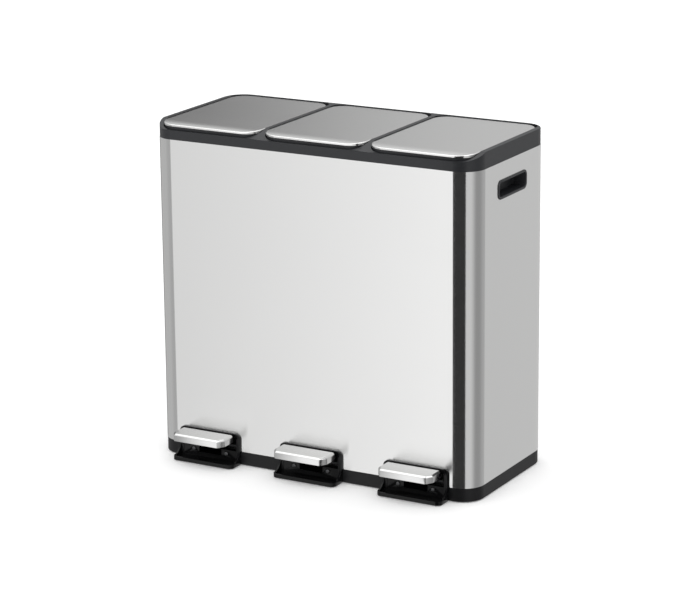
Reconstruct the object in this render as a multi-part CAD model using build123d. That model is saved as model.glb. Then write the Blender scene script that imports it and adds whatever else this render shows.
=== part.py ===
from build123d import *
from math import atan, cos, degrees, radians, sin, tan
import os

# Three-compartment step bin. Millimetres, +Z up, front towards -Y, bays side by side along X.
# Everything is drawn about the cabinet's own centre line and floor, then moved back in Y so that
# the origin is the centre of the footprint, pedals and screw heads included.

# ---- driving sizes: cabinet ----
cabinet_width = 600.0
cabinet_depth = 270.0
cabinet_height = 575.0       # floor to the top of the rim
bay_names = ("left", "middle", "right")
corner_radius = 38.0
base_gap = 1.5               # base tray above the floor, taken up by the foot pads
base_height = 24.5           # floor to the shell's lower edge
rim_height = 27.5            # rim above the shell, at the sides and back
rim_front_height = 15.8      # rim above the shell, at the front
shell_sheet = 0.8
trim_inset = 0.5             # base and rim faces behind the shell's face
back_screw_places = (-210.0, -70.0, 70.0, 210.0)

# ---- driving sizes: base, rim and inner panels ----
base_floor = 3.0
base_wall = 4.0
base_edge_round = 1.0
base_notch_depth = 20.0
base_notch_margin = 3.5      # surround overlaps the tray's notch by this much each side
spigot_height = 14.0
spigot_wall = 2.6
deck_height = 9.5            # deck above the shell
deck_sheet = 4.0
deck_skirt = 5.0             # rim wall left round the hollow under the deck
trough_floor = 3.0
ramp_run = 40.0              # the rim reaches full height this far behind the front
rim_front_bar = 3.5
rim_back_bar = 4.0
rim_side_bar = 9.5
rim_edge_round = 1.5
trough_lead = 10.0           # trough's front edge ahead of the hinge knuckles
ear_foot = 5.0               # front to back length of a hinge ear's foot
shelf_level = 69.0
shelf_sheet = 3.0
leg_setback = 28.0           # shelf legs behind the shelf's front edge
leg_sheet = 2.0
panel_to_rod = 18.7          # duct panel's front face to the push rods
panel_sheet = 1.5

# ---- driving sizes: lids and hinges ----
lid_gap = 10.0               # between neighbouring lids
lid_back_gap = 3.5
lid_radius = 28.0
pocket_back_radius = 20.0    # squarer than the lid, so that the opening lid clears the rim
lid_step = 1.0               # lid top below the rim's side bars
lid_skin_height = 5.5
lid_sheet = 1.0
lid_roll = 28.0              # depth of the rolled-down front
lid_drop = 2.2               # how far the roll falls
buffer_height = 3.0
buffer_setback = 30.0        # buffers behind and ahead of the bucket's opening edges
buffer_width = 4.8
buffer_inset = 1.0           # buffer's middle inside the liner's rim wall
liner_wall = 2.5
liner_plate = 1.3
hinge_inset = 6.0            # hinge ahead of the lid's back edge
hinge_drop = 4.0             # hinge below the lid's top
hinge_pin_radius = 1.5
knuckle_radius = 2.9
knuckle_length = 8.0
ear_radius = 2.7
ear_thickness = 5.0
ear_offset = 70.0
lid_open = 78.0
buffer_radius = 4.0

# ---- driving sizes: linkage ----
crank_radius = 24.0
crank_sheet = 4.0
crank_pin_radius = 2.5
crank_eye = 5.0
crank_foot = 14.0            # front to back length of the crank's foot, and its width
crank_foot_sheet = 2.0
rod_radius = 3.0
rod_head_sheet = 6.0
rod_head_wall = 2.6
rod_foot_sheet = 7.0
rod_foot_travel = 0.8
rod_plate_round = 2.0
pivot_setback = 85.0         # lever pivot behind the cabinet's front
pivot_z = 31.0
axle_radius = 4.0
hub_radius = 7.5
lever_width = 30.0
lever_sheet = 3.0
lever_fork_slot = 9.0
lever_fork_depth = 16.0
link_pin_radius = 2.5
link_boss_radius = 4.2
link_head_radius = 3.75
link_head = 1.5
bracket_sheet = 3.0
bracket_foot = 32.0          # front to back length of the bracket's foot
bracket_ear_foot = 28.0
bracket_ear_wall = 5.0       # ear left round the axle
axle_end = 2.0               # axle past the bracket's ears
guide_block = 14.0
guide_height = 12.0
lower_guide = 120.0
upper_guide_drop = 87.0      # upper guides below the deck

# ---- driving sizes: pedals and surrounds ----
pedal_stand_out = 49.0       # pedal face ahead of the cabinet's front
pedal_width = 100.0
pedal_face_width = 84.0
pedal_corner = 12.0          # depth of the slanted front corners
pedal_depth = 39.0
pedal_bottom = 42.0
pedal_top = 54.5
pedal_bevel = 3.0
pedal_sheet = 1.2
tab_width = 84.0
tab_depth = 30.0
tab_bend = 3.0               # least length of level strip behind the tab
rivet_setback = 13.0         # rivets ahead of the pedal's back edge
rivet_bite = 5.0
rivet_bite_room = 1.0
rivet_head_radius = 4.5
rivet_radius = 2.5
rivet_spacing = 64.0
rivet_head = 1.2
rivet_head_round = 0.84
surround_width = 118.0
surround_top = 54.6
surround_radius = 9.5
surround_face = 3.5
surround_bar = 7.0
surround_floor = 4.0
surround_lip = 2.5
surround_lip_width = 3.0
surround_stand_out = 31.0
surround_corner = 9.0
surround_back_top = 24.0
surround_overlap = 4.0       # arch past the edge of the shell's cut-out
surround_cut_radius = 6.0
surround_screw_z = 17.0
surround_screw_seat = 1.0    # screw seats behind the arch's face
sleeve_depth = 13.0
sleeve_floor = 1.0
cheek_top = 27.0
cheek_sweep = 26.0           # radius of the cheek's hollow front edge
lever_notch = 44.0
lever_notch_floor = 12.0

# ---- driving sizes: handles, buckets, dampers, fixings ----
handle_length = 104.5
handle_height = 32.0
handle_radius = 10.0
handle_drop = 44.5           # handle's middle below the shell's upper edge
handle_depth = 24.0
handle_flange = 1.2
handle_border = 4.2
handle_wall = 2.0
handle_overlap = 3.0         # flange past the edge of the shell's cut-out
bucket_radius = 12.0
bucket_wall = 2.0
bucket_taper = 5.0
bucket_flange = 7.0
bucket_flange_sheet = 2.0
bucket_lift = 0.5            # bucket's foot above the shelf
damper_radius = 7.0
damper_length = 90.0
damper_bottom = 300.0
damper_offset = 24.0
damper_rod_radius = 2.5
piston_radius = 5.4
piston_length = 10.0
piston_start = 6.0           # piston above the cylinder's foot, pedal up
damper_foot = 3.0
damper_cap = 4.0
damper_tab = 10.0
damper_tab_setback = 12.0    # tab shorter than the cylinder at each end
arm_start = 8.0              # damper arm above the cylinder
arm_height = 6.0
arm_width = 8.0
arm_clamp_radius = 6.5
pad_radius = 10.0
pad_height = 2.5
pad_inset = 32.0
screw_radius = 1.75
screw_length = 8.0
screw_head_radius = 3.6
screw_head = 2.0
screw_head_round = 1.2
screw_cross_length = 4.0
screw_cross_width = 0.8

# ---- clearances ----
running_clearance = 0.06     # shaft in a bore, on the radius
slide_clearance = 0.08       # rod or piston in a guide, on the radius
fixed_clearance = 0.03       # fixed pin or screw in its hole, on the radius
panel_clearance = 0.2        # pushed-together mouldings and sheets
lid_clearance = 1.0          # lid edge to rim
slot_clearance_z = 0.75      # link pin in a rod slot, up and down
slot_clearance_y = 0.4       # link pin in a rod slot, front and back
joint_gap = 1.0              # side play beside knuckles, hubs and cranks
bucket_clearance = 2.0
flange_clearance = 1.0       # bucket flange to the front of the lid pocket
notch_clearance = 2.0        # rod, crank and panel to the edge of the deck's notch
shelf_clearance = 1.0        # shelf's front edge behind the bucket's opening
over = 1.0                   # how far a cut runs past the face that it opens

# ---- worked out from the sizes above ----
front = -cabinet_depth / 2
back = cabinet_depth / 2
rim_top = cabinet_height
shell_bottom = base_height
shell_top = rim_top - rim_height
rim_front_top = shell_top + rim_front_height
deck_top = shell_top + deck_height
lid_top = rim_top - lid_step
liner_bottom = deck_top + buffer_height
handle_centre = shell_top - handle_drop
lower_screw_z = shell_bottom + spigot_height / 2
upper_screw_z = shell_top - spigot_height / 2
guide_levels = (lower_guide, deck_top - upper_guide_drop)
trim_width = cabinet_width - 2 * trim_inset
trim_depth = cabinet_depth - 2 * trim_inset
trim_radius = corner_radius - trim_inset
inner_width = cabinet_width - 2 * shell_sheet
inner_depth = cabinet_depth - 2 * shell_sheet
inner_radius = corner_radius - shell_sheet
spigot_width = inner_width - 2 * panel_clearance
spigot_depth = inner_depth - 2 * panel_clearance
spigot_radius = inner_radius - panel_clearance
bay_pitch = (trim_width - 2 * (rim_side_bar + lid_clearance) + lid_gap) / len(bay_names)
lid_width = bay_pitch - lid_gap
pocket_front = front + trim_inset + rim_front_bar
pocket_back = back - trim_inset - rim_back_bar
lid_front = -pocket_front - lid_clearance
lid_back = pocket_back - lid_back_gap
hinge_y = lid_back - hinge_inset
hinge_z = lid_top - hinge_drop
pivot_y = front + pivot_setback
pedal_reach = pedal_stand_out - front
surround_reach = surround_stand_out - front
base_floor_top = base_gap + base_floor
panel_half = trim_width / 2 - deck_skirt - joint_gap
deck_bottom = deck_top - deck_sheet
shelf_bottom = shelf_level - shelf_sheet
lid_length = lid_front + lid_back
skin_bottom = lid_top - lid_skin_height
liner_top = lid_top - lid_sheet
lift = 2 * crank_radius * sin(radians(lid_open / 2))
crank_y = hinge_y - crank_radius * cos(radians(lid_open / 2))
crank_z = hinge_z - lift / 2
crank_travel = crank_radius * (1 - cos(radians(lid_open / 2)))
rod_y = crank_y - crank_travel / 2
panel_y = rod_y - panel_to_rod
lever_rear = rod_y - pivot_y
lever_lean = atan(lift / 2 / lever_rear)
lever_swing = 2 * degrees(lever_lean)
link_z = pivot_z - lift / 2
pedal_back = -pedal_reach + pedal_depth
tab_top = pedal_bottom
tab_bottom = tab_top - lever_sheet
rivet_y = pedal_back - rivet_setback
crank_back = hinge_y - knuckle_radius - 2 * joint_gap
deck_notch_back = crank_back + 2 * joint_gap
trough_front = hinge_y - knuckle_radius - trough_lead
outer_bay_reach = cabinet_width / 2 - handle_depth - bay_pitch * (len(bay_names) - 1) / 2
bucket_width = 2 * (outer_bay_reach - bucket_clearance)
bucket_front = -pocket_front - flange_clearance - bucket_flange
opening_width = bucket_width + 2 * bucket_clearance
opening_back = panel_y - bucket_clearance
opening_front = -bucket_front - bucket_clearance
opening_depth = opening_back - opening_front
opening_middle = (opening_back + opening_front) / 2
bucket_back = opening_back - bucket_clearance
bucket_depth = bucket_back + bucket_front
bucket_middle = (bucket_back - bucket_front) / 2
stand_shift = (pedal_reach - (back + screw_head)) / 2

bay_centres = [(index - (len(bay_names) - 1) / 2) * bay_pitch for index in range(len(bay_names))]
divider_places = [(a + b) / 2 for a, b in zip(bay_centres, bay_centres[1:])]


# ---- helpers ----
def span(x_low, x_high, y_low, y_high, z_low, z_high):
    """Box between two corners."""
    centre = Pos((x_low + x_high) / 2, (y_low + y_high) / 2, (z_low + z_high) / 2)
    return centre * Box(x_high - x_low, y_high - y_low, z_high - z_low)


def column(width, depth, radius, z_low, z_high, x=0.0, y=0.0):
    """Upright block with rounded vertical corners."""
    outline = Pos(x, y, z_low) * RectangleRounded(width, depth, radius)
    return extrude(outline, z_high - z_low)


def bar_x(radius, x_low, x_high, y, z):
    """Round bar along X."""
    return Pos((x_low + x_high) / 2, y, z) * Rot(0, 90, 0) * Cylinder(radius, x_high - x_low)


def bar_y(radius, y_low, y_high, x, z):
    """Round bar along Y."""
    return Pos(x, (y_low + y_high) / 2, z) * Rot(90, 0, 0) * Cylinder(radius, y_high - y_low)


def bar_z(radius, z_low, z_high, x, y):
    """Upright round bar."""
    return Pos(x, y, (z_low + z_high) / 2) * Cylinder(radius, z_high - z_low)


def side_plate(points, x_low, x_high):
    """Plate with a (y, z) outline, running from x_low to x_high."""
    return side_solid(make_face(Plane.YZ * Polyline(*points, close=True)), x_low, x_high)


def side_solid(outline, x_low, x_high):
    """Solid whose side view is the given outline, running from x_low to x_high."""
    return Pos(x_low, 0, 0) * extrude(outline, x_high - x_low, dir=(1, 0, 0))


def frame_around(width, depth, radius, wall, z_low, z_high):
    """Upright ring with rounded corners."""
    inside = column(width - 2 * wall, depth - 2 * wall, radius - wall, z_low - over, z_high + over)
    return column(width, depth, radius, z_low, z_high) - inside


def group(pieces):
    """Separate solids of one kind, kept together."""
    return Compound([piece.solid() for piece in pieces])


def back_screw(x, z):
    """Pan head screw driven forward through the back."""
    head = bar_y(screw_head_radius, back, back + screw_head, x, z)
    head = fillet(head.edges().filter_by(GeomType.CIRCLE).sort_by(Axis.Y)[-1], screw_head_round)
    shank = bar_y(screw_radius, back - screw_length, back, x, z)
    long_half = screw_cross_length / 2
    wide_half = screw_cross_width / 2
    cross_floor = back + screw_head / 2
    cross_end = back + screw_head + over
    level_slot = span(x - long_half, x + long_half, cross_floor, cross_end, z - wide_half, z + wide_half)
    upright_slot = span(x - wide_half, x + wide_half, cross_floor, cross_end, z - long_half, z + long_half)
    return head + shank - (level_slot + upright_slot)


def back_screw_holes(z):
    """Clearance holes for one row of back screws."""
    radius = screw_radius + fixed_clearance
    return [bar_y(radius, back - screw_length - over, back + over, x, z) for x in back_screw_places]


# ---- cabinet ----
def make_outer_shell():
    shell = frame_around(cabinet_width, cabinet_depth, corner_radius, shell_sheet, shell_bottom, shell_top)
    cut_width = surround_width - 2 * surround_overlap
    cut_height = 2 * (surround_top - surround_overlap - shell_bottom)
    for x in bay_centres:
        shell -= column_y(cut_width, cut_height, surround_cut_radius,
                          front - over, front + surround_cut_radius, x, shell_bottom)
    for side in (-1, 1):
        shell -= handle_block(handle_length - 2 * handle_overlap, handle_height - 2 * handle_overlap,
                              handle_radius - handle_overlap, cabinet_width / 2 - shell_sheet - over,
                              cabinet_width / 2 + over, side)
    for hole in back_screw_holes(lower_screw_z) + back_screw_holes(upper_screw_z):
        shell -= hole
    return shell


def column_y(width, height, radius, y_low, y_high, x, z):
    """Block along Y with rounded corners, centred on (x, z)."""
    outline = Plane.XZ * RectangleRounded(width, height, radius)
    return Pos(x, y_high, z) * extrude(outline, y_high - y_low)


def make_base_tray():
    tray = column(trim_width, trim_depth, trim_radius, base_gap, shell_bottom)
    tray = fillet(tray.faces().sort_by(Axis.Z)[0].edges(), base_edge_round)
    tray += column(spigot_width, spigot_depth, spigot_radius, shell_bottom, shell_bottom + spigot_height)
    hollow_inset = base_wall + trim_inset
    tray -= column(cabinet_width - 2 * hollow_inset, cabinet_depth - 2 * hollow_inset,
                   corner_radius - hollow_inset, base_floor_top, shell_bottom + spigot_height + over)
    notch_half = surround_width / 2 - base_notch_margin
    for x in bay_centres:
        tray -= span(x - notch_half, x + notch_half, front - over, front + base_notch_depth,
                     base_floor_top, shell_bottom + spigot_height + over)
    for x, y in pad_places():
        tray -= bar_z(pad_radius + panel_clearance, base_gap - over, pad_height, x, y)
    for hole in back_screw_holes(lower_screw_z):
        tray -= hole
    return tray


def pad_places():
    """Foot pad centres: the four corners and the middle of the long sides."""
    x_side = cabinet_width / 2 - pad_inset
    y_side = cabinet_depth / 2 - pad_inset
    return [(x, y) for x in (-x_side, 0.0, x_side) for y in (-y_side, y_side)]


def make_foot_pads():
    return group(bar_z(pad_radius, 0, pad_height, x, y) for x, y in pad_places())


def make_top_rim():
    rim = column(trim_width, trim_depth, trim_radius, shell_top, rim_top)
    rim = fillet(rim.faces().sort_by(Axis.Z)[-1].edges(), rim_edge_round)
    rim -= side_plate([(front - over, rim_front_top), (pocket_front, rim_front_top),
                       (front + ramp_run, rim_top), (front + ramp_run, rim_top + over),
                       (front - over, rim_top + over)], -cabinet_width, cabinet_width)
    hollow = column(trim_width - 2 * deck_skirt, trim_depth - 2 * deck_skirt, trim_radius - deck_skirt,
                    shell_top - over, deck_bottom)
    rim -= hollow - span(-cabinet_width, cabinet_width, trough_front - trough_floor, back,
                         shell_top - 2 * over, deck_bottom + over)
    pocket_depth = pocket_back - pocket_front
    pocket_middle = (pocket_back + pocket_front) / 2
    pocket_width = lid_width + 2 * lid_clearance
    notch_half = crank_sheet + rod_head_sheet / 2 + joint_gap + notch_clearance
    for x in bay_centres:
        rim -= column(pocket_width, pocket_depth, lid_radius + lid_clearance, deck_top, rim_top + over,
                      x, pocket_middle)
        rear_pocket = column(pocket_width, pocket_depth, pocket_back_radius, shell_top + trough_floor,
                             rim_top + over, x, pocket_middle)
        rim -= rear_pocket & span(x - bay_pitch, x + bay_pitch, trough_front, back,
                                  shell_top, rim_top + over)
        rim -= column(opening_width, opening_depth, bucket_radius + bucket_clearance, shell_top - over,
                      rim_top, x, opening_middle)
        rim += hinge_ears(x)
        rim -= span(x - notch_half, x + notch_half, panel_y + panel_sheet + notch_clearance, deck_notch_back,
                    shell_top - over, rim_top)
    rim += frame_around(spigot_width, spigot_depth, spigot_radius, spigot_wall,
                        shell_top - spigot_height, shell_top + over)
    for hole in back_screw_holes(upper_screw_z):
        rim -= hole
    return rim


def hinge_ears(x):
    """Two ears that carry one hinge pin, leaning back from the deck so that the lid can drop behind them."""
    ears = None
    for place in (x - ear_offset, x + ear_offset):
        low, high = place - ear_thickness / 2, place + ear_thickness / 2
        lean = atan((hinge_z - deck_top) / (hinge_y - trough_front))
        beside = ear_radius * sin(lean)
        above = ear_radius * cos(lean)
        foot_back = trough_front + over
        foot_front = foot_back - ear_foot
        ear = side_plate([(foot_front, shell_top + over), (foot_back, shell_top + over),
                          (foot_back, deck_top - over), (hinge_y + beside, hinge_z - above),
                          (hinge_y - beside, hinge_z + above), (foot_front, deck_top)], low, high)
        ear += bar_x(ear_radius, low, high, hinge_y, hinge_z)
        ear -= bar_x(hinge_pin_radius + fixed_clearance, low - over, high + over, hinge_y, hinge_z)
        ears = ear if ears is None else ears + ear
    return ears


def make_hinge_pin(x):
    half = ear_offset + ear_thickness / 2 + joint_gap / 2
    return bar_x(hinge_pin_radius, x - half, x + half, hinge_y, hinge_z)


def make_bucket_floor():
    half = panel_half
    front_edge = opening_front + shelf_clearance
    plate = span(-half, half, front_edge, panel_y, shelf_bottom, shelf_level)
    plate &= column(2 * half, 2 * -pocket_front, inner_radius - deck_skirt,
                    shelf_bottom - over, shelf_level + over)
    for x in [-half + leg_sheet / 2, half - leg_sheet / 2] + divider_places:
        plate += span(x - leg_sheet / 2, x + leg_sheet / 2, front_edge + leg_setback, panel_y,
                      base_floor_top, shelf_bottom)
    return plate


def make_duct_panel():
    return span(-panel_half, panel_half, panel_y, panel_y + panel_sheet, shelf_bottom, deck_bottom)


def make_axle_brackets():
    """One folded bracket per bay: two ears on a foot plate."""
    return group(make_axle_bracket(x) for x in bay_centres)


def make_axle_bracket(x):
    inner = lever_width / 2 + joint_gap
    outer = inner + bracket_sheet
    ear_half = axle_radius + bracket_ear_wall
    foot_half = bracket_foot / 2
    ear_foot_half = bracket_ear_foot / 2
    bracket = span(x - outer, x + outer, pivot_y - foot_half, pivot_y + foot_half,
                   base_floor_top, base_floor_top + bracket_sheet)
    for side in (-1, 1):
        low, high = sorted((x + side * inner, x + side * outer))
        ear = side_plate([(pivot_y - ear_foot_half, base_floor_top),
                          (pivot_y + ear_foot_half, base_floor_top),
                          (pivot_y + ear_half, pivot_z), (pivot_y - ear_half, pivot_z)], low, high)
        ear += bar_x(ear_half, low, high, pivot_y, pivot_z)
        bracket += ear
    return bracket - bar_x(axle_radius + fixed_clearance, x - outer - over, x + outer + over,
                           pivot_y, pivot_z)


def make_lever_axle(x):
    half = lever_width / 2 + joint_gap + bracket_sheet + axle_end
    return bar_x(axle_radius, x - half, x + half, pivot_y, pivot_z)


def make_rod_guides():
    """Two guide blocks per rod, fixed to the duct panel."""
    blocks = []
    for x in bay_centres:
        for z in guide_levels:
            low, high = z - guide_height / 2, z + guide_height / 2
            block = span(x - guide_block / 2, x + guide_block / 2, panel_y + panel_sheet,
                         rod_y + guide_block / 2, low, high)
            blocks.append(block - bar_z(rod_radius + slide_clearance, low - over, high + over, x, rod_y))
    return group(blocks)


# ---- carry handles ----
def make_handle_cup(side):
    """Recessed cup with a flange that covers the edge of its cut-out."""
    face = cabinet_width / 2
    flange = handle_block(handle_length, handle_height, handle_radius, face, face + handle_flange, side)
    body_inset = handle_overlap + panel_clearance
    body = handle_block(handle_length - 2 * body_inset, handle_height - 2 * body_inset,
                        handle_radius - body_inset, face - handle_depth, face, side)
    pocket = handle_block(handle_length - 2 * handle_border, handle_height - 2 * handle_border,
                          handle_radius - handle_border, face - handle_depth + handle_wall,
                          face + handle_flange + over, side)
    return flange + body - pocket


def handle_block(length, height, radius, x_near, x_far, side):
    """Rounded block along X between two distances from the centre, on one end of the cabinet."""
    outline = Plane.YZ * RectangleRounded(length, height, radius)
    low = x_near if side > 0 else -x_far
    return Pos(low, 0, handle_centre) * extrude(outline, x_far - x_near, dir=(1, 0, 0))


# ---- pedal surrounds ----
def make_pedal_surround(x):
    half = surround_width / 2
    face = front - surround_face
    arch = column_y(surround_width, 2 * (surround_top - base_gap), surround_radius, face, front, x, base_gap)
    arch -= span(x - half - over, x + half + over, face - over, front + over,
                 base_gap - surround_top, base_gap)
    shelf = column(surround_width, 2 * (surround_reach + front), surround_corner, base_gap,
                   base_gap + surround_floor + surround_lip, x, front)
    shelf -= span(x - half - over, x + half + over, front, 0, 0, surround_top)
    inside = column(surround_width - 2 * surround_lip_width,
                    2 * (surround_reach + front - surround_lip_width), surround_corner - surround_lip_width,
                    base_gap + surround_floor, surround_top, x, front)
    body = arch + shelf
    for side in (-1, 1):
        low, high = sorted((x + side * half, x + side * (half - surround_lip_width)))
        body += cheek(low, high)
    opening = span(x - half + surround_bar, x + half - surround_bar, face - over, front + over,
                   base_gap + surround_floor, surround_top - surround_bar)
    body = body - (inside - span(x - half, x + half, face, 0, 0, surround_top)) - opening
    back_wall = span(x - half + surround_bar, x + half - surround_bar, face + surround_screw_seat, front,
                     base_gap + surround_floor - over, surround_back_top)
    body += back_wall + sleeve(x)
    body -= span(x - lever_notch / 2, x + lever_notch / 2, face - over, front + sleeve_depth + over,
                 lever_notch_floor, surround_top - surround_bar)
    for place in surround_screw_places(x):
        body -= bar_y(screw_radius + fixed_clearance, face, front + over, place, surround_screw_z)
    return body


def cheek(low, high):
    """Side web between the arch and the shelf, with a hollow curved front edge."""
    face = front - surround_face
    shelf_top = base_gap + surround_floor + surround_lip
    tip = -surround_reach + surround_corner
    edge = Plane.YZ * RadiusArc((face, cheek_top), (tip, shelf_top), cheek_sweep)
    rest = Plane.YZ * Polyline((tip, shelf_top), (tip, base_gap), (front, base_gap),
                               (front, cheek_top), (face, cheek_top))
    return side_solid(make_face([edge, rest]), low, high)


def sleeve(x):
    """Short tunnel behind the arch that passes through the shell's cut-out."""
    inset = surround_overlap + panel_clearance
    wide = surround_width - 2 * inset
    tall = surround_top - inset
    outer = column_y(wide, 2 * (tall - base_floor_top), surround_cut_radius - panel_clearance,
                     front, front + sleeve_depth, x, base_floor_top)
    outer -= span(x - wide, x + wide, front - over, front + sleeve_depth + over,
                  -surround_top, base_floor_top)
    inner_half = surround_width / 2 - surround_bar
    return outer - span(x - inner_half, x + inner_half, front - over, front + sleeve_depth + over,
                        base_floor_top + sleeve_floor, surround_top - surround_bar)


def surround_screw_places(x):
    return [x - rivet_spacing / 2, x + rivet_spacing / 2]


def make_surround_screws():
    """Two bright screws in the low wall at the back of each surround's shelf."""
    seat = front - surround_face + surround_screw_seat
    screws = []
    for x in bay_centres:
        for place in surround_screw_places(x):
            head = bar_y(screw_head_radius, seat - screw_head, seat, place, surround_screw_z)
            head = fillet(head.edges().filter_by(GeomType.CIRCLE).sort_by(Axis.Y)[0], screw_head_round)
            screws.append(head + bar_y(screw_radius, seat, front, place, surround_screw_z))
    return group(screws)


# ---- pedals ----
def pedal_outline(inset):
    """Plan of the pedal cap: straight sides, slanted front corners, flat face."""
    half = pedal_width / 2 - inset
    face_half = pedal_face_width / 2 - inset / 2
    face_y = -pedal_reach + inset
    corner_y = face_y + pedal_corner
    return [(-half, pedal_back), (-half, corner_y), (-face_half, face_y),
            (face_half, face_y), (half, corner_y), (half, pedal_back)]


def pedal_block(x, inset, z_low, z_high):
    outline = make_face(Polyline(*pedal_outline(inset), close=True))
    return Pos(x, 0, z_low) * extrude(outline, z_high - z_low, dir=(0, 0, 1))


def make_pedal_cap(x):
    cap = pedal_block(x, 0.0, pedal_bottom, pedal_top)
    top_edges = cap.faces().sort_by(Axis.Z)[-1].edges().sort_by(Axis.Y)[:-1]
    cap = chamfer(top_edges, pedal_bevel)
    hollow = pedal_block(x, pedal_sheet, pedal_bottom - over, pedal_top - pedal_sheet)
    hollow = chamfer(hollow.faces().sort_by(Axis.Z)[-1].edges().sort_by(Axis.Y)[:-1], pedal_bevel)
    return cap - hollow


def make_pedal_carrier(x):
    inset = pedal_sheet + panel_clearance
    carrier = pedal_block(x, inset, pedal_bottom, pedal_top - inset)
    carrier = chamfer(carrier.faces().sort_by(Axis.Z)[-1].edges().sort_by(Axis.Y)[:-1], pedal_bevel)
    for place in rivet_places(x):
        carrier -= bar_z(rivet_radius + fixed_clearance, pedal_bottom - over,
                         pedal_bottom + rivet_bite + rivet_bite_room, place, rivet_y)
    return carrier


def rivet_places(x):
    return [x - rivet_spacing / 2, x + rivet_spacing / 2]


def make_pedal_lever(x):
    """Steel strip: wide level tab under the pedal, leaning arm, pivot hub and forked rear end."""
    half = lever_width / 2
    slope = tan(lever_lean)
    bend_y = pivot_y - (tab_bottom + lever_sheet / 2 - pivot_z) / slope
    bend_y = max(bend_y, pedal_back + tab_bend)
    bend_z = pivot_z + (pivot_y - bend_y) * slope
    thick = lever_sheet / 2
    lever = side_plate([(pedal_back, tab_bottom), (bend_y, bend_z - thick), (rod_y, link_z - thick),
                        (rod_y, link_z + thick), (bend_y, bend_z + thick), (pedal_back, tab_top)],
                       x - half, x + half)
    lever += span(x - tab_width / 2, x + tab_width / 2, pedal_back - tab_depth, pedal_back,
                  tab_bottom, tab_top)
    lever += bar_x(hub_radius, x - half, x + half, pivot_y, pivot_z)
    lever += bar_x(link_boss_radius, x - half, x + half, rod_y, link_z)
    fork_half = lever_fork_slot / 2
    lever -= span(x - fork_half, x + fork_half, rod_y - lever_fork_depth, rod_y + lever_fork_depth,
                  link_z - lever_fork_depth, link_z + lever_fork_depth)
    lever -= bar_x(axle_radius + running_clearance, x - half - over, x + half + over, pivot_y, pivot_z)
    lever -= bar_x(link_pin_radius + fixed_clearance, x - half - over, x + half + over, rod_y, link_z)
    for place in rivet_places(x):
        lever -= bar_z(rivet_radius + fixed_clearance, tab_bottom - over, tab_top + over, place, rivet_y)
    return lever


def make_pedal_fixings(x):
    """Two rivets that hold the carrier, and the headed pin that joins the lever to its rod."""
    pieces = []
    for place in rivet_places(x):
        shank = bar_z(rivet_radius, tab_bottom, pedal_bottom + rivet_bite, place, rivet_y)
        head = bar_z(rivet_head_radius, tab_bottom - rivet_head, tab_bottom, place, rivet_y)
        head = fillet(head.edges().filter_by(GeomType.CIRCLE).sort_by(Axis.Z)[0], rivet_head_round)
        pieces.append(shank + head)
    half = lever_width / 2
    pin = bar_x(link_pin_radius, x - half, x + half, rod_y, link_z)
    pieces.append(pin + bar_x(link_head_radius, x - half - link_head, x - half, rod_y, link_z))
    return group(pieces)


# ---- push rods and dampers ----
def slotted_plate(x_low, x_high, y, z, pin_radius, travel):
    """Plate on the end of a rod with a level slot for a link pin."""
    slot_half_y = travel / 2 + pin_radius + slot_clearance_y
    slot_half_z = pin_radius + slot_clearance_z
    outer_half_y = slot_half_y + rod_head_wall
    outer_half_z = slot_half_z + rod_head_wall
    plate = span(x_low, x_high, y - outer_half_y, y + outer_half_y, z - outer_half_z, z + outer_half_z)
    plate = fillet(plate.edges().filter_by(Axis.X), rod_plate_round)
    slot = Plane.YZ * SlotOverall(2 * slot_half_y, 2 * slot_half_z)
    return plate - Pos(x_low - over, y, z) * extrude(slot, x_high - x_low + 2 * over, dir=(1, 0, 0))


def make_push_rod(x):
    head_half = rod_head_sheet / 2
    foot_half = rod_foot_sheet / 2
    reach_z = crank_pin_radius + slot_clearance_z + rod_head_wall
    rod = bar_z(rod_radius, link_z + reach_z - over, crank_z - reach_z + over, x, rod_y)
    rod += slotted_plate(x - head_half, x + head_half, rod_y, crank_z, crank_pin_radius, crank_travel)
    return rod + slotted_plate(x - foot_half, x + foot_half, rod_y, link_z,
                               link_pin_radius, rod_foot_travel)


def damper_x(x):
    return x + damper_offset


def make_damper_cylinder(x):
    """Closed tube with a bore for the piston and a flat tab on the duct panel."""
    top = damper_bottom + damper_length
    centre = damper_x(x)
    tube = bar_z(damper_radius, damper_bottom, top, centre, rod_y)
    tube += span(centre - damper_tab / 2, centre + damper_tab / 2, panel_y + panel_sheet, rod_y,
                 damper_bottom + damper_tab_setback, top - damper_tab_setback)
    bore_top = top - damper_cap
    tube -= bar_z(piston_radius + slide_clearance, damper_bottom + damper_foot, bore_top, centre, rod_y)
    return tube - bar_z(damper_rod_radius + slide_clearance, bore_top - over, top + over, centre, rod_y)


def make_damper_rod(x):
    """Piston and stem, with an arm clamped round the push rod above the cylinder."""
    top = damper_bottom + damper_length
    centre = damper_x(x)
    piston_bottom = damper_bottom + piston_start
    arm_bottom = top + arm_start
    arm_top = arm_bottom + arm_height
    stem = bar_z(damper_rod_radius, piston_bottom + over, arm_top, centre, rod_y)
    stem += bar_z(piston_radius, piston_bottom, piston_bottom + piston_length, centre, rod_y)
    stem += span(x, centre, rod_y - arm_width / 2, rod_y + arm_width / 2, arm_bottom, arm_top)
    stem += bar_z(arm_clamp_radius, arm_bottom, arm_top, x, rod_y)
    return stem - bar_z(rod_radius + fixed_clearance, arm_bottom - over, arm_top + over, x, rod_y)


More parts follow.
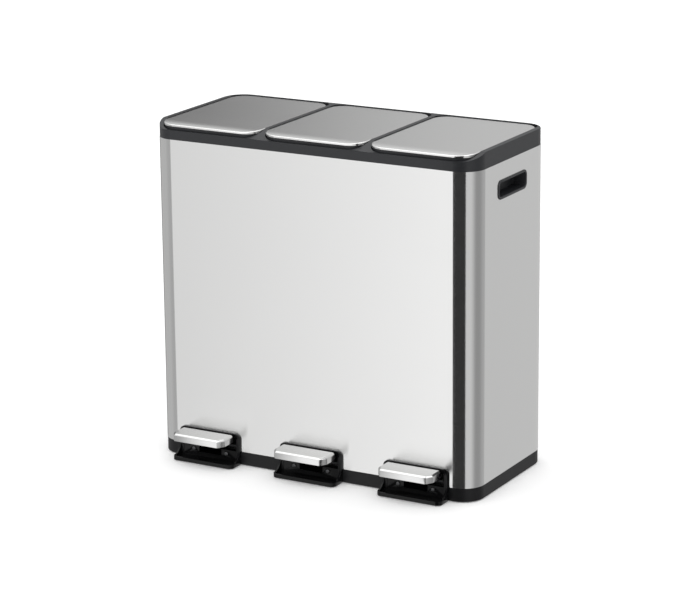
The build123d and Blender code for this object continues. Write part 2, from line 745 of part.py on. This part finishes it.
# ---- buckets ----
def make_bucket(x):
    """Tapered liner with a flange that hangs on the deck and is lifted by its edge."""
    bottom = shelf_level + bucket_lift
    outer = tapered_tub(x, 0.0, bottom, deck_top)
    inner = tapered_tub(x, bucket_wall, bottom + bucket_wall, deck_top + bucket_flange)
    flange = column(bucket_width + 2 * bucket_flange, bucket_depth + 2 * bucket_flange,
                    bucket_radius + bucket_flange, deck_top, deck_top + bucket_flange_sheet,
                    x, bucket_middle)
    return outer + flange - inner


def tapered_tub(x, wall, z_low, z_high):
    """Upright tub that narrows towards its foot."""
    low = Pos(x, bucket_middle, z_low) * RectangleRounded(
        bucket_width - 2 * (wall + bucket_taper), bucket_depth - 2 * (wall + bucket_taper),
        bucket_radius - wall - bucket_taper / 2)
    high = Pos(x, bucket_middle, z_high) * RectangleRounded(
        bucket_width - 2 * wall, bucket_depth - 2 * wall, bucket_radius - wall)
    return loft([low, high])


# ---- lids ----
def lid_body(x, inset, drop, z_low):
    """Block under the lid's top surface, with its sides moved in by inset and its top lowered by drop."""
    top = lid_top - drop
    front_y = -lid_front + inset
    roll_y = -lid_front + lid_roll
    sweep = (lid_roll ** 2 + lid_drop ** 2) / (2 * lid_drop)
    roll = Plane.YZ * RadiusArc((-lid_front, top - lid_drop), (roll_y, top), -sweep)
    rest = Plane.YZ * Polyline((roll_y, top), (lid_back, top), (lid_back, z_low), (-lid_front, z_low),
                               (-lid_front, top - lid_drop))
    block = side_solid(make_face([roll, rest]), x - lid_width / 2, x + lid_width / 2)
    return block & column(lid_width - 2 * inset, lid_length - 2 * inset, lid_radius - inset,
                          z_low, top + over, x, (front_y + lid_back - inset) / 2)


def make_lid_skin(x):
    outer = lid_body(x, 0.0, 0.0, skin_bottom)
    return outer - lid_body(x, lid_sheet, lid_sheet, skin_bottom - over)


def make_lid_frame(x):
    """Black liner under the skin: plate, rim wall and hinge knuckles."""
    inset = lid_sheet + panel_clearance / 2
    liner = lid_body(x, inset, lid_sheet, liner_bottom)
    hollow = lid_body(x, inset + liner_wall, lid_sheet + liner_plate, liner_bottom - over)
    liner -= hollow
    cut_front = trough_front - trough_floor + over
    cut_back = lid_back + over
    liner -= span(x - lid_width, x + lid_width, cut_front, cut_back, liner_bottom - over, hinge_z)
    for side in (-1, 1):
        inner = side * (ear_offset - ear_thickness / 2 - joint_gap)
        low, high = sorted((x + inner, x + inner - side * knuckle_length))
        liner += bar_x(knuckle_radius, low, high, hinge_y, hinge_z)
        liner += span(low, high, hinge_y - knuckle_radius, hinge_y + hinge_pin_radius, hinge_z,
                      liner_top - liner_plate / 2)
        notch_low, notch_high = sorted((x + inner, x + inner + side * (ear_thickness + 2 * joint_gap)))
        liner -= span(notch_low, notch_high, cut_front, cut_back, hinge_z - knuckle_radius, liner_top + over)
        liner -= bar_x(hinge_pin_radius + running_clearance, low - over, high + over, hinge_y, hinge_z)
    return liner


def make_lid_crank(x):
    """Steel crank plate hung from the liner ahead of the hinge, carrying the pin that the rod lifts."""
    high = x - rod_head_sheet / 2 - joint_gap
    low = high - crank_sheet
    plate_top = liner_top - liner_plate
    brace = crank_eye * sin(radians(45))
    foot_y = crank_y - crank_foot
    plate = side_plate([(foot_y, plate_top), (crank_back, plate_top), (crank_y + brace, crank_z - brace),
                        (crank_y - brace, crank_z + brace), (foot_y, plate_top - crank_sheet)], low, high)
    plate += bar_x(crank_eye, low, high, crank_y, crank_z)
    plate += span(low, low + crank_foot, foot_y, crank_back, plate_top - crank_foot_sheet, plate_top)
    return plate + bar_x(crank_pin_radius, low, x + rod_head_sheet / 2 + joint_gap, crank_y, crank_z)


def make_lid_buffers(x):
    """Rubber buffers between the liner and the deck, ahead of the bucket flange."""
    place_x = lid_width / 2 - lid_sheet - liner_wall - buffer_inset
    pieces = []
    for side in (-1, 1):
        for y in (opening_front + buffer_setback, opening_back - buffer_setback):
            middle = x + side * place_x
            pieces.append(span(middle - buffer_width / 2, middle + buffer_width / 2,
                               y - buffer_radius, y + buffer_radius, deck_top, liner_bottom))
    return group(pieces)


# ---- assembly ----
nodes = {
    "outer_shell": make_outer_shell(),
    "base_tray": make_base_tray(),
    "top_rim": make_top_rim(),
    "bucket_floor": make_bucket_floor(),
    "duct_panel": make_duct_panel(),
    "left_handle_cup": make_handle_cup(-1),
    "right_handle_cup": make_handle_cup(1),
    "foot_pads": make_foot_pads(),
    "axle_brackets": make_axle_brackets(),
    "rod_guides": make_rod_guides(),
    "surround_screws": make_surround_screws(),
    "base_screws": group(back_screw(x, lower_screw_z) for x in back_screw_places),
    "rim_screws": group(back_screw(x, upper_screw_z) for x in back_screw_places),
}
for bay, bay_x in zip(bay_names, bay_centres):
    nodes["pedal_surround_" + bay] = make_pedal_surround(bay_x)
    nodes["lever_axle_" + bay] = make_lever_axle(bay_x)
    nodes["lid_hinge_pin_" + bay] = make_hinge_pin(bay_x)
    nodes["bucket_" + bay] = make_bucket(bay_x)
    nodes["damper_cylinder_" + bay] = make_damper_cylinder(bay_x)
    nodes["lid_skin_" + bay] = make_lid_skin(bay_x)
    nodes["lid_frame_" + bay] = make_lid_frame(bay_x)
    nodes["lid_crank_" + bay] = make_lid_crank(bay_x)
    nodes["lid_buffers_" + bay] = make_lid_buffers(bay_x)
    nodes["pedal_lever_" + bay] = make_pedal_lever(bay_x)
    nodes["pedal_cap_" + bay] = make_pedal_cap(bay_x)
    nodes["pedal_carrier_" + bay] = make_pedal_carrier(bay_x)
    nodes["pedal_fixings_" + bay] = make_pedal_fixings(bay_x)
    nodes["push_rod_" + bay] = make_push_rod(bay_x)
    nodes["damper_rod_" + bay] = make_damper_rod(bay_x)

os.makedirs("parts", exist_ok=True)
for name, shape in nodes.items():
    export_step(Pos(0, stand_shift, 0) * shape, "parts/" + name + ".step")

print("lift", round(lift, 4), "lever swing", round(lever_swing, 4), "stand shift", round(stand_shift, 3))
print("hinge", hinge_y + stand_shift, hinge_z, "pivot", pivot_y + stand_shift, pivot_z)
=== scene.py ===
import math

import bpy
import bmesh
from mathutils import Matrix, Vector


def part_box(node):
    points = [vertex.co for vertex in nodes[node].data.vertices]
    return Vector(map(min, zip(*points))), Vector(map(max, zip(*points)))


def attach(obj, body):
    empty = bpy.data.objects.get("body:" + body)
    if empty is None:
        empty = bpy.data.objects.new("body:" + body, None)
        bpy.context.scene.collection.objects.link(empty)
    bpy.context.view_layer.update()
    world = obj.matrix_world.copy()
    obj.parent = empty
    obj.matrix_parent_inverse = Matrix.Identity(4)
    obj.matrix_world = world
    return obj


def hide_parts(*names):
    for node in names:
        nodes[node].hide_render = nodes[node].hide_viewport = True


# Three-compartment step bin in brushed stainless steel, in the row frame: metres, +Z up,
# front towards -Y, origin at the middle of the footprint.

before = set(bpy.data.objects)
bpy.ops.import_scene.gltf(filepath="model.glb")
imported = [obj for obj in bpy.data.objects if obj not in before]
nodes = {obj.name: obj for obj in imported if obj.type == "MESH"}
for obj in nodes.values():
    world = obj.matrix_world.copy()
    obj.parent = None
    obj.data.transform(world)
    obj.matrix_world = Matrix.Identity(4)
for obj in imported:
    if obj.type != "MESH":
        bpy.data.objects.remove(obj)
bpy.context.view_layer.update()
bays = ("left", "middle", "right")
MM = 0.001

# ---- camera ----
CAMERA_PLACE = Vector((2.2273, -3.9535, 1.5343))
CAMERA_YAW = math.radians(29.25)
CAMERA_PITCH = math.radians(-15.47)
CAMERA_ROLL = math.radians(-0.51)
CAMERA_LENS = 145.33
CAMERA_SENSOR = 36.0
CAMERA_NEAR = 0.05
CAMERA_FAR = 100.0

# ---- studio ----
BACKDROP_LEVEL = 1.3
WALL_START = 0.62
# soft panels and black flags round the set, low down: azimuth in degrees where a change starts,
# where it ends, and how much brighter it gets
WALL_STEPS = (
    (-154.0, -145.5, -0.50),
    (-140.0, -110.0, 0.48),
    (-70.0, -45.0, -0.10),
    (-41.0, -32.5, 0.50),
    (-33.0, -25.0, 0.34),
    (-22.0, -8.0, -0.20),
    (10.0, 40.0, -0.385),
    (60.0, 94.0, -0.40),
    (108.0, 140.0, 0.14),
    (144.0, 154.0, 0.24),
)
# overhead: sine of the elevation where a change starts, where it ends, and the brightness above
CEILING_STEPS = ((0.30, 0.46, 0.98), (0.60, 0.90, 2.1))
FLOOR_REACH = 12.0
FLOOR_WHITE = 0.95
FLOOR_GLOW = 0.15
# black flag beside the set that only polished surfaces see; it draws the dark stripe on the front corner
FLAG_LEFT = 0.218
FLAG_RIGHT = 0.3685
FLAG_PLACE = -0.22
FLAG_LOW = -0.8
FLAG_HIGH = 1.6
FLAG_BLACK = 0.004
SET_ROUGHNESS = 0.9



def make_camera():
    data = bpy.data.cameras.new("camera")
    data.lens = CAMERA_LENS
    data.sensor_width = CAMERA_SENSOR
    data.clip_start = CAMERA_NEAR
    data.clip_end = CAMERA_FAR
    camera = bpy.data.objects.new("camera", data)
    aim = Matrix.Rotation(CAMERA_YAW, 4, "Z") @ Matrix.Rotation(math.pi / 2 + CAMERA_PITCH, 4, "X")
    camera.matrix_world = Matrix.Translation(CAMERA_PLACE) @ aim @ Matrix.Rotation(CAMERA_ROLL, 4, "Z")
    bpy.context.scene.collection.objects.link(camera)
    bpy.context.scene.camera = camera


make_camera()


class Graph:
    """Short way to build a node tree."""

    def __init__(self, tree):
        self.tree = tree
        tree.nodes.clear()

    def add(self, kind, **settings):
        node = self.tree.nodes.new(kind)
        for name, value in settings.items():
            setattr(node, name, value)
        return node

    def put(self, socket, value):
        """Links a socket, or sets its value."""
        if isinstance(value, bpy.types.NodeSocket):
            self.tree.links.new(value, socket)
        elif value is not None:
            socket.default_value = value

    def math(self, operation, first, second=None, third=None):
        node = self.add("ShaderNodeMath", operation=operation)
        for socket, value in zip(node.inputs, (first, second, third)):
            self.put(socket, value)
        return node.outputs[0]

    def vector(self, operation, first, second=None):
        node = self.add("ShaderNodeVectorMath", operation=operation)
        self.put(node.inputs[0], first)
        self.put(node.inputs[1], second)
        return node.outputs[0]

    def smooth(self, value, low, high):
        """0 below low, 1 above high, smooth between."""
        node = self.add("ShaderNodeMapRange", interpolation_type="SMOOTHSTEP", clamp=True)
        self.put(node.inputs["Value"], value)
        node.inputs["From Min"].default_value = low
        node.inputs["From Max"].default_value = high
        return node.outputs["Result"]

    def remap(self, value, low, high):
        """A value from 0..1 taken to low..high."""
        node = self.add("ShaderNodeMapRange")
        self.put(node.inputs["Value"], value)
        node.inputs["To Min"].default_value = low
        node.inputs["To Max"].default_value = high
        return node.outputs["Result"]


def make_world():
    """Soft light tent: a function of direction alone, with the backdrop plain to the eye."""
    world = bpy.data.worlds.new("studio")
    world.use_nodes = True
    bpy.context.scene.world = world
    g = Graph(world.node_tree)
    where = g.add("ShaderNodeTexCoord").outputs["Generated"]
    split = g.add("ShaderNodeSeparateXYZ")
    g.put(split.inputs[0], where)
    x, y, z = split.outputs
    # azimuth in degrees, 0 towards the front, positive to the right
    turn = g.math("ARCTAN2", x, g.math("MULTIPLY", y, -1.0))
    azimuth = g.math("MULTIPLY", turn, 180 / math.pi)
    level = WALL_START
    for start, end, height in WALL_STEPS:
        level = g.math("MULTIPLY_ADD", g.smooth(azimuth, start, end), height, level)
    for low, high, target in CEILING_STEPS:
        rise = g.math("SUBTRACT", target, level)
        level = g.math("MULTIPLY_ADD", g.smooth(z, low, high), rise, level)
    seen = g.add("ShaderNodeLightPath").outputs["Is Camera Ray"]
    shown = g.add("ShaderNodeMix", data_type="FLOAT")
    g.put(shown.inputs[0], seen)
    g.put(shown.inputs[2], level)
    g.put(shown.inputs[3], BACKDROP_LEVEL)
    background = g.add("ShaderNodeBackground")
    g.put(background.inputs["Strength"], shown.outputs[0])
    out = g.add("ShaderNodeOutputWorld")
    g.put(out.inputs[0], background.outputs[0])


make_world()
scene = bpy.context.scene
scene.view_settings.view_transform = "Standard"


def set_sheet(name, corners, level):
    """One flat sheet of the studio set, plain grey of that level, and its shader."""
    mesh = bpy.data.meshes.new(name)
    mesh.from_pydata(corners, [], [(0, 1, 2, 3)])
    sheet = bpy.data.objects.new(name, mesh)
    scene.collection.objects.link(sheet)
    material = bpy.data.materials.new(name + "_finish")
    material.use_nodes = True
    shader = material.node_tree.nodes["Principled BSDF"]
    shader.inputs["Base Color"].default_value = (level, level, level, 1)
    shader.inputs["Roughness"].default_value = SET_ROUGHNESS
    mesh.materials.append(material)
    return sheet, shader


def make_floor():
    reach = FLOOR_REACH
    corners = [(-reach, -reach, 0), (reach, -reach, 0), (reach, reach, 0), (-reach, reach, 0)]
    floor, shader = set_sheet("floor", corners, FLOOR_WHITE)
    shader.inputs["Emission Color"].default_value = (1, 1, 1, 1)
    shader.inputs["Emission Strength"].default_value = FLOOR_GLOW
    floor.visible_glossy = False


def make_flag():
    corners = [(FLAG_LEFT, FLAG_PLACE, FLAG_LOW), (FLAG_RIGHT, FLAG_PLACE, FLAG_LOW),
               (FLAG_RIGHT, FLAG_PLACE, FLAG_HIGH), (FLAG_LEFT, FLAG_PLACE, FLAG_HIGH)]
    flag = set_sheet("flag", corners, FLAG_BLACK)[0]
    flag.visible_camera = False
    flag.visible_diffuse = False
    flag.visible_shadow = False


make_floor()
make_flag()


# ---- materials ----
HAIR_SHARE = 0.6
CLOUDS_ON_STEEL = 5.0
GRAIN_SHARE = 0.5
CLOUDS_ON_MOULDING = 14.0


def principled(name, colour, metallic=0.0, **more):
    """A material with one shader, its tree and the shader."""
    material = bpy.data.materials.new(name)
    material.use_nodes = True
    g = Graph(material.node_tree)
    shader = g.add("ShaderNodeBsdfPrincipled")
    out = g.add("ShaderNodeOutputMaterial")
    g.put(out.inputs[0], shader.outputs[0])
    g.put(shader.inputs["Base Color"], (*colour, 1.0))
    g.put(shader.inputs["Metallic"], metallic)
    for key, value in more.items():
        g.put(shader.inputs[key.replace("_", " ")], value)
    return material, g, shader


def noise(g, stretch, detail=2.0):
    """Grain in the piece's own frame; stretch is lines per metre along x, y and z."""
    place = g.add("ShaderNodeTexCoord").outputs["Object"]
    spread = g.add("ShaderNodeMapping")
    g.put(spread.inputs["Vector"], place)
    spread.inputs["Scale"].default_value = stretch
    texture = g.add("ShaderNodeTexNoise")
    g.put(texture.inputs["Vector"], spread.outputs[0])
    texture.inputs["Scale"].default_value = 1.0
    texture.inputs["Detail"].default_value = detail
    return texture.outputs[0]


def bump(g, shader, height, depth):
    node = g.add("ShaderNodeBump")
    g.put(node.inputs["Height"], height)
    node.inputs["Distance"].default_value = depth
    g.put(shader.inputs["Normal"], node.outputs[0])


def object_vector(g, vector):
    """A fixed direction in the piece's own frame, as the shader needs it."""
    node = g.add("ShaderNodeVectorTransform", vector_type="VECTOR", convert_from="OBJECT",
                 convert_to="WORLD")
    node.inputs[0].default_value = vector
    return node.outputs[0]


def brushed_steel(name, hairs, roughness, depth, tangent=None, grain=None, colour=(0.88, 0.88, 0.875),
                  spread=0.6):
    """Hairline steel. tangent is the direction across the grain, or grain the direction along it."""
    material, g, shader = principled(name, colour, metallic=1.0, Anisotropic=spread)
    if tangent is not None:
        g.put(shader.inputs["Tangent"], object_vector(g, tangent))
    else:
        normal = g.add("ShaderNodeNewGeometry").outputs["Normal"]
        g.put(shader.inputs["Tangent"], g.vector("CROSS_PRODUCT", normal, object_vector(g, grain)))
    hair = noise(g, hairs, detail=3.0)
    cloud = noise(g, (CLOUDS_ON_STEEL,) * 3)
    mixed = g.math("MULTIPLY_ADD", hair, HAIR_SHARE, g.math("MULTIPLY", cloud, 1 - HAIR_SHARE))
    g.put(shader.inputs["Roughness"], g.remap(mixed, *roughness))
    bump(g, shader, hair, depth)
    return material


def moulded(name, colour, roughness, grain, depth, metallic=0.0, **more):
    """Textured plastic, paint or plating: fine grain in the surface and an uneven sheen."""
    material, g, shader = principled(name, colour, metallic=metallic, **more)
    fine = noise(g, (grain,) * 3)
    cloud = noise(g, (CLOUDS_ON_MOULDING,) * 3)
    mixed = g.math("MULTIPLY_ADD", fine, GRAIN_SHARE, g.math("MULTIPLY", cloud, 1 - GRAIN_SHARE))
    g.put(shader.inputs["Roughness"], g.remap(mixed, *roughness))
    bump(g, shader, fine, depth)
    return material


# each finish: name, colour, range of roughness, lines of grain per metre, depth of the grain in metres
shell_steel = brushed_steel("brushed_stainless_shell", (7.0, 7.0, 1500.0), (0.19, 0.25), 0.000002,
                            tangent=(0, 0, 1), spread=0.9)
lid_steel = brushed_steel("brushed_stainless_lid", (7.0, 1500.0, 1500.0), (0.17, 0.23), 0.000003,
                          grain=(1, 0, 0))
pedal_steel = brushed_steel("brushed_stainless_pedal", (9.0, 1100.0, 1100.0), (0.14, 0.2), 0.000004,
                            grain=(1, 0, 0), colour=(0.8, 0.8, 0.795), spread=0.5)
black_plastic = moulded("black_moulding_texture", (0.019, 0.020, 0.023), (0.34, 0.46), 1900.0, 0.00003)
base_plastic = moulded("black_moulding_base", (0.008, 0.008, 0.009), (0.38, 0.5), 1900.0, 0.00003,
                       Specular_IOR_Level=0.3)
gloss_black = moulded("gloss_black_moulding", (0.004, 0.004, 0.0045), (0.14, 0.24), 90.0, 0.00001,
                      Specular_IOR_Level=0.25)
# painted shade: the surround screws get a dark colour so they sit as dark as the shaded recess under the
# pedal, with only dim glints
recess_shade_screw = moulded("screw_painted_recess_shade", (0.16, 0.16, 0.165), (0.25, 0.36), 500.0, 0.000006, metallic=1.0)
grey_plastic = moulded("grey_liner", (0.12, 0.125, 0.13), (0.42, 0.56), 1300.0, 0.00003)
powder_black = moulded("black_powder_coat", (0.02, 0.02, 0.022), (0.46, 0.62), 800.0, 0.00006)
zinc = moulded("zinc_plate", (0.55, 0.56, 0.57), (0.3, 0.46), 420.0, 0.00002, metallic=1.0)
bright = moulded("bright_nickel", (0.8, 0.8, 0.81), (0.12, 0.24), 500.0, 0.000006, metallic=1.0)
acetal = moulded("natural_acetal", (0.55, 0.55, 0.53), (0.36, 0.5), 700.0, 0.00002)
rubber = moulded("black_rubber_matt", (0.02, 0.02, 0.02), (0.72, 0.9), 1100.0, 0.00008)

FINISHES = {
    "brushed_stainless": lid_steel,
    "black_moulding": black_plastic,
    "gloss_black": gloss_black,
    "grey_liner_plastic": grey_plastic,
    "black_steel": powder_black,
    "plain_steel": zinc,
    "bright_fixings": bright,
    "guide_plastic": acetal,
    "black_rubber": rubber,
}
for name, node in nodes.items():
    slot = node.data.materials[0].name.split(".")[0]
    finish = FINISHES[slot]
    if name == "outer_shell":
        finish = shell_steel
    elif name == "base_tray":
        finish = base_plastic
    # painted shade: the surround screws take the darkened colour that stands in for the shade of the
    # recess
    elif name == "surround_screws":
        finish = recess_shade_screw
    node.data.materials[0] = finish


# ---- refined pieces ----
LID_CORNER = 28.0 * MM
LID_ROLL = 28.0 * MM
LID_DROP = 2.2 * MM
LID_EDGE = 1.4 * MM
LID_SHEET = 0.8 * MM
LID_LIP_RISE = 0.4 * MM
PEDAL_FACE_INSET = 8.0 * MM
PEDAL_CORNER = 12.0 * MM
PEDAL_BEVEL = 3.0 * MM
PEDAL_SHEET = 1.2 * MM
PEDAL_SOFT = 0.9 * MM
# how far a slanted corner moves for each unit that the bevel comes in
PEDAL_SLANT = 0.4
SURROUND_SOFT = 0.8 * MM
CUP_SOFT = 0.6 * MM
ARC_STEPS = 12
EDGE_STEPS = 6
SOFT_STEPS = 3
PEDAL_SOFT_STEPS = 4
# rings drawn in from the lid's edge, in millimetres, close together where the roll is steepest
LID_RINGS = (2.2, 3.4, 5, 7, 9.5, 12, 15, 18, 21, 24.5, 28)
SMOOTH_LID = 40
SMOOTH_PEDAL = 50
SMOOTH_MOULDING = 40
BEVEL_PEDAL = 12
BEVEL_MOULDING = 35
FLAT_ANGLE = 0.5
WELD = 0.005 * MM
LID_WELD = 0.01 * MM


def rounded_outline(low, high, radius, inset):
    """Corner-rounded rectangle, anticlockwise from above, drawn in by inset."""
    reach = max(radius - inset, 0.0)
    points = []
    centres = ((high.x - radius, low.y + radius, -90), (high.x - radius, high.y - radius, 0),
               (low.x + radius, high.y - radius, 90), (low.x + radius, low.y + radius, 180))
    for cx, cy, start in centres:
        for step in range(ARC_STEPS + 1):
            angle = math.radians(start + 90 * step / ARC_STEPS)
            points.append((cx + reach * math.cos(angle), cy + reach * math.sin(angle)))
    return points


def lathe_rings(bm, rings):
    """Joins closed rings of equal length one to the next."""
    rows = [[bm.verts.new(point) for point in ring] for ring in rings]
    for lower, upper in zip(rows, rows[1:]):
        count = len(lower)
        for index in range(count):
            after = (index + 1) % count
            bm.faces.new((lower[index], lower[after], upper[after], upper[index]))
    return rows


def piece_from(bm, name, material):
    bmesh.ops.recalc_face_normals(bm, faces=bm.faces)
    mesh = bpy.data.meshes.new(name)
    bm.to_mesh(mesh)
    bm.free()
    piece = bpy.data.objects.new(name, mesh)
    scene.collection.objects.link(piece)
    mesh.materials.append(material)
    return piece


def settle(piece, smooth_angle):
    """Applies the modifiers and shades the mesh smooth up to an angle."""
    bpy.context.view_layer.update()
    shape = piece.evaluated_get(bpy.context.evaluated_depsgraph_get())
    mesh = bpy.data.meshes.new_from_object(shape)
    piece.modifiers.clear()
    piece.data = mesh
    mesh.shade_smooth()
    mesh.set_sharp_from_angle(angle=math.radians(smooth_angle))


def round_edges(piece, width, segments, angle):
    soft = piece.modifiers.new("soft", "BEVEL")
    soft.width = width
    soft.segments = segments
    soft.limit_method = "ANGLE"
    soft.angle_limit = math.radians(angle)


def thicken(piece, thickness):
    """Gives a skin its wall, on the inside."""
    wall = piece.modifiers.new("wall", "SOLIDIFY")
    wall.thickness = thickness
    wall.offset = -1.0


def make_lid(bay):
    """Pressed lid sheet: turned-down edge, rounded corners and a front that rolls down."""
    low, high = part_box("lid_skin_" + bay)

    def drop(y):
        share = max(0.0, (low.y + LID_ROLL - y) / LID_ROLL)
        return LID_DROP * share * share

    def ring(inset, z, follow=1.0):
        return [(x, y, z - follow * drop(y)) for x, y in rounded_outline(low, high, LID_CORNER, inset)]

    rings = [ring(0.0, low.z + LID_LIP_RISE, 0.0)]
    for step in range(EDGE_STEPS + 1):
        angle = math.radians(90 * step / EDGE_STEPS)
        rings.append(ring(LID_EDGE * (1 - math.cos(angle)), high.z - LID_EDGE * (1 - math.sin(angle))))
    for inset in LID_RINGS:
        rings.append(ring(inset * MM, high.z))
    bm = bmesh.new()
    rows = lathe_rings(bm, rings)
    bm.faces.new(rows[-1])
    bmesh.ops.remove_doubles(bm, verts=bm.verts, dist=LID_WELD)
    piece = piece_from(bm, "lid_sheet_" + bay, lid_steel)
    thicken(piece, LID_SHEET)
    settle(piece, SMOOTH_LID)
    return piece


def make_pedal(bay):
    """Folded pedal cap with slanted front corners, a bevelled top and softened edges."""
    low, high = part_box("pedal_cap_" + bay)

    def outline(inset, z):
        left, right, front = low.x + inset, high.x - inset, low.y + inset
        face = PEDAL_FACE_INSET + inset * PEDAL_SLANT
        corner = low.y + PEDAL_CORNER + inset * PEDAL_SLANT
        return [(left, high.y, z), (left, corner, z), (low.x + face, front, z),
                (high.x - face, front, z), (right, corner, z), (right, high.y, z)]

    bm = bmesh.new()
    rows = lathe_rings(bm, [outline(0.0, low.z), outline(0.0, high.z - PEDAL_BEVEL),
                            outline(PEDAL_BEVEL, high.z)])
    bm.faces.new(rows[-1])
    piece = piece_from(bm, "pedal_sheet_" + bay, pedal_steel)
    round_edges(piece, PEDAL_SOFT, PEDAL_SOFT_STEPS, BEVEL_PEDAL)
    thicken(piece, PEDAL_SHEET)
    settle(piece, SMOOTH_PEDAL)
    return piece


def soften(name, width, material):
    """The same moulding with its sharp edges rounded, as it comes out of a mould."""
    bm = bmesh.new()
    bm.from_mesh(nodes[name].data)
    bmesh.ops.remove_doubles(bm, verts=bm.verts, dist=WELD)
    bmesh.ops.dissolve_limit(bm, angle_limit=math.radians(FLAT_ANGLE), verts=bm.verts, edges=bm.edges)
    piece = piece_from(bm, name + "_moulding", material)
    round_edges(piece, width, SOFT_STEPS, BEVEL_MOULDING)
    settle(piece, SMOOTH_MOULDING)
    return piece


def fit(piece, body, node):
    """The piece stands for that CAD node, which is hidden, and moves with its body."""
    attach(piece, body)
    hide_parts(node)


for bay in bays:
    fit(make_lid(bay), "lid_" + bay, "lid_skin_" + bay)
    fit(make_pedal(bay), "pedal_" + bay, "pedal_cap_" + bay)
    surround = "pedal_surround_" + bay
    fit(soften(surround, SURROUND_SOFT, gloss_black), "cabinet", surround)
for side in ("left", "right"):
    cup = side + "_handle_cup"
    fit(soften(cup, CUP_SOFT, black_plastic), "cabinet", cup)
